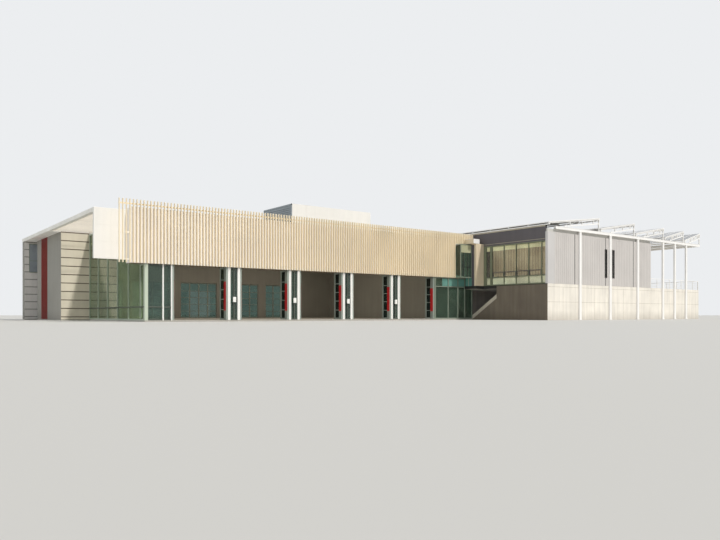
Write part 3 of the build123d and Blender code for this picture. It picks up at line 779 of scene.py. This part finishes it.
# Form marks of the base, between the columns
columns_x, column_y = span("wing_columns")[:2]
column_half = 0.075
column_count = 5
first_column, last_column = inset(columns_x, column_half)
column_pitch = (last_column - first_column) / (column_count - 1)
column_centres = [first_column + index * column_pitch for index in range(column_count)]
field_middles = [centre - column_pitch / 2 for centre in column_centres]
mark_half = 0.006
low_mark = 0.85
base_seams = []
for y in ((base_y[0] - backing, base_y[0]), (base_y[1], base_y[1] + backing)):
    base_seams += [(around(x, mark_half), y, base_z) for x in field_middles]
    base_seams += [(base_x, y, around(z, mark_half)) for z in (base_z[1], low_mark)]
piece("base_seams", concrete_seam, base_seams)

# Link between the main block and the wing
link_x, link_y, link_z = span("link_wall")
link_face_z = (link_z[0], link_z[1] - 0.05)
link_gap = 0.01
flank_joint = link_y[0] + 0.13
flank_gap = 0.004
low_gap = 0.02
piece("link_sheets", beige,
      front_sheets(link_y[0], [link_x], cuts(*link_face_z, 3, link_gap)), bevel=board_edge)
# The flank next to the box is painted dark as shade, in the fascia's colour
piece("link_flank", fascia_dark,
      side_sheets(link_x[0], [(flank_joint, upper_y[0])], [link_face_z]), bevel=board_edge)
piece("link_flank_edge", beige,
      side_sheets(link_x[0], [(link_y[0], flank_joint - flank_gap)], [link_face_z]),
      bevel=board_edge)
piece("link_flank_low", teal,
      side_sheets(link_x[0], cuts(upper_y[0] + flank_gap, header_face, 2, low_gap),
                  [(link_z[0], upper_z[0])]), bevel=board_edge)
beam_x, beam_y, beam_z = span("link_beam")
plate_x = inset(beam_x, -cover)
piece("link_beam_plates", steel_white, [
    (plate_x, (beam_y[0] - cover, beam_y[0]), (beam_z[0], beam_z[1] + cover)),
    (plate_x, (beam_y[0] - cover, beam_y[1]), on_top(beam_z, cover)),
], bevel=bar_edge)

# Glazed side of the wing: blinds, head strip and spandrels behind the glass
frame_x, frame_y = span("wing_side_frame")[:2]
first_mullion = link_y[0] - 0.565
side_pane_pitch = 0.755
mullion_count = 5
mullions = [first_mullion - index * side_pane_pitch for index in range(mullion_count)]
slot_back = link_y[0] - 0.18
slot_y = (slot_back - 0.25, slot_back)
blind_z = (2.13, 3.42)
slot_blind_z = (2.13, 3.45)
head_strip_z = (3.425, 3.64)
spandrel_z = (1.73, 2.09)
blind_slats = cuts(frame_y[0], first_mullion, 40, 0.004)
slat_depths, turned_depths = (0.018, 0.013), (0.014, 0.009)
slot_depths, plate_depths = (0.018, 0.012), (0.02, 0.012)


def behind_glass(depths, y, z):
    """A thin box in the frame, at two distances from the frame's inner face."""
    return (frame_x[1] - depths[0], frame_x[1] - depths[1]), y, z


piece("side_blinds", blind,
      [behind_glass(slat_depths, y, blind_z) for y in blind_slats[::2]], bevel=fine_edge)
# Every other slat is painted darker as shade
piece("side_blinds_turned", blind_painted_shade,
      [behind_glass(turned_depths, y, blind_z) for y in blind_slats[1::2]], bevel=fine_edge)
# A dark plate behind the slot's glass, painted as the shade inside
piece("side_slot_painted_shade", dark_paint_and_painted_shade,
      [behind_glass(slot_depths, slot_y, slot_blind_z)], bevel=fine_edge)
piece("side_head_strip", blind_light,
      [behind_glass(plate_depths, frame_y, head_strip_z)], bevel=bar_edge)
piece("side_spandrels", spandrel,
      [behind_glass(plate_depths, frame_y, spandrel_z)], bevel=bar_edge)

# Small opening lights low in the glazed side
light_x = (frame_x[0] + 0.01, frame_x[0] + 0.05)
light_head = (2.34, 2.365)
light_foot = 2.115
light_margin, light_rim, light_side = 0.015, 0.04, 0.02
light_bars = []
for back, front in zip(mullions, mullions[1:]):
    light_bars.append((light_x, inset((front, back), light_margin), light_head))
    for y in ends(inset((front, back), light_rim), light_side):
        light_bars.append((light_x, y, (light_foot, light_head[0])))
piece("side_small_lights", fascia_dark, light_bars, bevel=bar_edge)

# Trims of the fascia, and the slab's edge painted dark as shade
fascia_x, fascia_y, fascia_z = span("wing_fascia")
upper_trim_x, lower_trim_x = (fascia_x[0] - 0.02, fascia_x[1]), (fascia_x[0] - 0.008, fascia_x[0])
upper_trim_z, lower_trim_z = (fascia_z[1] - 0.06, fascia_z[1] + 0.006), (3.765, 3.785)
slab_face_x = (fascia_x[0] - 0.012, fascia_x[0])
piece("fascia_trim", trim_tan, [
    (upper_trim_x, fascia_y, upper_trim_z),
    (lower_trim_x, (fascia_y[0], link_y[0]), lower_trim_z),
], bevel=post_edge)
# The slab's edge, a line atop the side facing and the link's slab edge, painted dark as shade
piece("slab_edge_painted_shade", dark_paint_and_painted_shade, [
    (slab_face_x, (bank_front, link_y[0]), slab_z),
    (slab_face_x, (base_y[0], bank_front), (side_top, slab_z[1])),
    ((link_x[0], fascia_x[0]), (link_y[0] - cladding, link_y[0]), slab_z),
    ((link_x[0] - cladding, link_x[0]), (link_y[0] - cladding, lobby_y[0]), slab_z),
], bevel=bar_edge)

# Ribs on the wing's walls
rib_pitch = 0.15
rib_gap = 0.03
joint_half = 0.02


def ribs(low, high, z, windows, margin, opening):
    """The places and heights of ribs from low to high, cut round windows of one height."""
    places = []
    for index in range(int((high - low) / rib_pitch)):
        start = low + index * rib_pitch
        end = start + rib_pitch - rib_gap
        heights = [z]
        if any(start < window[1] + margin and end > window[0] - margin for window in windows):
            heights = [(z[0], opening[0]), (opening[1], z[1])]
        places += [((start, end), height) for height in heights]
    return places


# Front wall of the wing: corner sheets, ribs, dark joints and two slot windows
panel_x, panel_y, panel_z = span("wing_corner_panel")
front_x, front_y, front_z = span("wing_front_wall")
slot_z = span("wing_window_glass")[2]
slot_half = 0.11
slot_offset = 0.325
slot_margin = 0.01
joint_offset = 0.375
joint_depth = 0.004
corner_joints = [2.015, 2.385]
slots = [around(middle, slot_half) for middle in around(column_centres[1], slot_offset)]
joints = [centre - joint_offset for centre in column_centres[:3]]
piece("wing_corner_sheets", wing_white,
      front_sheets(panel_y[0], [panel_x], between(*panel_z, corner_joints, sheet_gap)),
      bevel=fine_edge)
front_ribs = [(x, (front_y[0] - cladding, front_y[0]), z)
              for x, z in ribs(*front_x, front_z, slots, slot_margin, slot_z)
              if not any(x[0] - joint_half < joint < x[1] + joint_half for joint in joints)]
piece("front_ribs", rib_paint, front_ribs, bevel=post_edge)
piece("front_joints", dark_paint_and_painted_shade,
      front_sheets(front_y[0], [around(joint, joint_half) for joint in joints], [front_z],
                   joint_depth), bevel=fine_edge)
slot_frame_y = (front_y[0] - 0.006, front_y[0] + 0.05)
slot_transom = (2.8, 2.82)
slot_bar = 0.015
slot_frames = []
for x in slots:
    slot_frames += window_bars(x, slot_frame_y, slot_z, slot_bar, slot_bar)
    slot_frames.append((x, slot_frame_y, slot_transom))
piece("slot_frames", dark_paint_and_painted_shade, slot_frames, bevel=bar_edge)

# Back wall of the wing, with three windows, and its end wall, with two slots
back_x, back_y, back_z = span("wing_back_wall")
end_wall_x, end_wall_y, end_wall_z = span("wing_right_wall")
window_half = 0.85
window_margin = 0.02
windows = [around(middle, window_half) for middle in field_middles[:3]]
back_window_z = (2.3, 3.5)
back_frame_y = (back_y[1] - 0.09, back_y[1] - 0.04)
back_bar = 0.03
piece("back_ribs", rib_paint,
      [(x, on_top(back_y, cladding), z)
       for x, z in ribs(*back_x, back_z, windows, window_margin, back_window_z)], bevel=post_edge)
back_frames = []
for window in windows:
    middle = (window[0] + window[1]) / 2
    back_frames += window_bars(window, back_frame_y, back_window_z, back_bar, back_bar)
    back_frames.append((around(middle, back_bar / 2), back_frame_y, back_window_z))
piece("back_window_frames", frame_metal, back_frames, bevel=post_edge)
wing_middle = (slab_y[0] + slab_y[1]) / 2
end_slots = [around(middle, slot_half) for middle in around(wing_middle, column_pitch / 2)]
piece("end_ribs", rib_paint,
      [(on_top(end_wall_x, cladding), y, z)
       for y, z in ribs(*end_wall_y, end_wall_z, end_slots, slot_margin, slot_z)],
      bevel=post_edge)

# Flanges of the beams, and the columns' head and foot plates
steel_x, steel_y, steel_z = span("front_beam")
back_beam_y = span("back_beam")[1]
flange_height = 0.016
flange_out = 0.002
flanges = []
for y in ((steel_y[0] - cover, steel_y[1]), (back_beam_y[0], back_beam_y[1] + cover)):
    for z in ends(inset(steel_z, -flange_out), flange_height):
        flanges.append(((steel_x[0], steel_x[1] - flange_out), y, z))
piece("beam_flanges", steel_white, flanges, bevel=bar_edge)
head_plate_z = (steel_z[0] - 0.03, steel_z[0] - flange_out)
foot_plate_z = (0.0, 0.03)
head_plate_half, foot_plate_half = 0.095, 0.1
plate_y = ends(inset(column_y, -0.01), 0.04)
plates = []
for centre in (*column_centres, field_middles[-1]):
    for y in plate_y:
        plates.append((around(centre, head_plate_half), y, head_plate_z))
        plates.append((around(centre, foot_plate_half), y, foot_plate_z))
piece("column_plates", steel_white, plates, bevel=post_edge)

# Canopy rows of framed cells, each rising to the right
canopy_x, canopy_y, canopy_z = span("canopy_panels")
row_gap = 0.12
row_rise = 0.5
module_length = 0.83
module_gap = 0.006
modules_deep = 14
bar_width = 0.018
cell_margin = 0.012
frame_levels = (0.0, 0.04)
cell_levels = (0.022, 0.036)
back_levels = (0.012, 0.021)
rows = []
left = canopy_x[0]
for length in (4.0, 3.08, 2.83, 2.08):
    rows.append((left, left + length))
    left += length + row_gap
rows.append((left, canopy_x[1]))


def row_slope(row):
    return row_rise / (row[1] - row[0])


def underside(row, x):
    """The height of a row's underside at a place on x."""
    return canopy_z[0] + row_slope(row) * (x - row[0])


def modules(row):
    return cuts(*row, round((row[1] - row[0]) / module_length), module_gap)


def sloped(row, x, y, levels):
    """A plate in a row's slope, between two levels over its underside."""
    low, high = levels
    corners = ((x[0], low), (x[1], low), (x[1], high), (x[0], high))
    return y_prism(y, [(place, underside(row, place) + level) for place, level in corners])


cells, bars, backs = [], [], []
for row in rows:
    for x in modules(row):
        for y in cuts(*canopy_y, modules_deep, module_gap):
            cell = (inset(x, cell_margin), inset(y, cell_margin))
            cells.append(sloped(row, *cell, cell_levels))
            backs.append(sloped(row, *cell, back_levels))
            bars += [sloped(row, side, y, frame_levels) for side in ends(x, bar_width)]
            bars += [sloped(row, inset(x, bar_width), side, frame_levels)
                     for side in ends(y, bar_width)]
piece("canopy_cells", cell_dark, prisms=cells, stands_for=["canopy_panels"])
piece("canopy_frames", steel_white, prisms=bars, stands_for=["canopy_panels"])
piece("canopy_backs", pale_back, prisms=backs, stands_for=["canopy_panels"])

# Light members under the panels: purlins between the rafters, braces in the outer trusses
rafter_depth = 0.05
chord_depth = 0.22
truss_clearance = 0.05
purlin_y = inset(column_y, 0.04)
purlin_levels = (-0.03, -0.001)
brace_width = 0.024
brace_y = ends(inset(column_y, 0.01), 0.02)
brace_count = 6
first_share = 0.02
shares = [first_share, *(index / brace_count for index in range(1, brace_count + 1))]
purlins, braces = [], []
for row in rows:
    for x in modules(row)[1:]:
        purlins.append(sloped(row, (x[0] - bar_width, x[0] + cell_margin), purlin_y, purlin_levels))
    clear_height = steel_z[1] + chord_depth + truss_clearance - canopy_z[0]
    start = row[0] + clear_height / row_slope(row)
    reach = row[1] - truss_clearance - start
    stops = [start + reach * share for share in shares]
    for left, right in zip(stops, stops[1:]):
        foot = underside(row, left) - chord_depth
        top = underside(row, right) - rafter_depth
        outline = [(left, foot), (left + brace_width, foot), (right, top),
                   (right - brace_width, top)]
        braces += [y_prism(y, outline) for y in brace_y]
piece("canopy_purlins", steel_white, prisms=purlins)
piece("canopy_braces", steel_white, prisms=braces)

# Camera, level and shifted, so that uprights stay upright
lens = bpy.data.cameras.new("camera")
lens.lens = 33.07
lens.sensor_width = 36
lens.shift_x = -0.0116
lens.shift_y = 0.0614
camera = bpy.data.objects.new("camera", lens)
camera.location = (-22.93, -27.87, 0.275)
camera.rotation_euler = (math.radians(90), 0, math.radians(-37.65))
scene.collection.objects.link(camera)
scene.camera = camera


# Lamps: a warm sun, a cool fill from the left, and one each in the hall and under the link
def add_lamp(name, kind, energy, colour, **settings):
    lamp = bpy.data.lights.new(name, kind)
    lamp.energy = energy
    lamp.color = colour
    for setting, value in settings.items():
        setattr(lamp, setting, value)
    made = bpy.data.objects.new(name, lamp)
    scene.collection.objects.link(made)
    return made


def add_sun(name, energy, colour, width, turn, height):
    """A sun at degrees to the right of the front and over the ground."""
    made = add_lamp(name, "SUN", energy, colour, angle=math.radians(width))
    side, up = math.radians(turn), math.radians(height)
    to_sun = Vector((math.sin(side) * math.cos(up), -math.cos(side) * math.cos(up), math.sin(up)))
    made.rotation_euler = to_sun.to_track_quat("Z", "Y").to_euler()


def add_area(name, energy, colour, place, **settings):
    made = add_lamp(name, "AREA", energy, colour, **settings)
    made.location = place
    made.visible_camera = False


add_sun("sun", energy=2.3, colour=(1.0, 0.97, 0.92), width=3, turn=14, height=45)
add_sun("fill_lamp", energy=0.8, colour=(0.9, 0.95, 1.0), width=80, turn=-90, height=22)
add_area("hall_lamp", energy=270, colour=(1.0, 0.9, 0.76), place=(-6.8, 2.6, 3.8),
         shape="RECTANGLE", size=14, size_y=9)
add_area("undercroft_lamp", energy=4, colour=(0.9, 0.92, 1.0), place=(4.2, -5.2, 1.5), size=3)

# World: plain light, and a pale background in the picture and in glass
world = bpy.data.worlds.new("studio")
scene.world = world
world.use_nodes = True
world_tree = world.node_tree
plain = world_tree.nodes["Background"]
plain.inputs["Color"].default_value = (0.93, 0.97, 1.0, 1)
plain.inputs["Strength"].default_value = 0.46
pale = node(world_tree, "ShaderNodeBackground",
            {"Color": (*linear(236, 238, 240), 1), "Strength": 1.0})
path = node(world_tree, "ShaderNodeLightPath").outputs
seen = path["Is Camera Ray"]
for ray in ("Is Glossy Ray", "Is Transmission Ray"):
    seen = node(world_tree, "ShaderNodeMath", {0: seen, 1: path[ray]},
                operation="MAXIMUM").outputs["Value"]
mixed = node(world_tree, "ShaderNodeMixShader",
             {0: seen, 1: plain.outputs["Background"], 2: pale.outputs["Background"]})
world_tree.links.new(mixed.outputs["Shader"],
                     world_tree.nodes["World Output"].inputs["Surface"])


# Ground, and a dark green card at the left that only mirrors in the lobby's side glass
backdrop = dict(streak=0.0, grain=3.0, bump=0.0)


def stage(name, mesh, material):
    """A stage object, which isn't part of the building."""
    data = bpy.data.meshes.new(name)
    mesh.to_mesh(data)
    mesh.free()
    data.materials.append(material)
    made = bpy.data.objects.new(name, data)
    scene.collection.objects.link(made)
    return made


ground_mesh = bmesh.new()
bmesh.ops.create_circle(ground_mesh, cap_ends=True, radius=160, segments=96)
ground = stage("ground", ground_mesh,
               paint("ground_paint", (206, 204, 200), backdrop, rough=0.8, mottle=0.01, patch=0.1))
ground.location.z = -0.002
card_mesh = bmesh.new()
add_box(card_mesh, x=(-30, -16.9), y=(12, 12.1), z=(0, 8))
card = stage("card", card_mesh,
             paint("card_green", (86, 98, 66), backdrop, rough=0.9, mottle=0.6, patch=0.9))
for ray in ("camera", "diffuse", "transmission", "volume_scatter", "shadow"):
    setattr(card, "visible_" + ray, False)
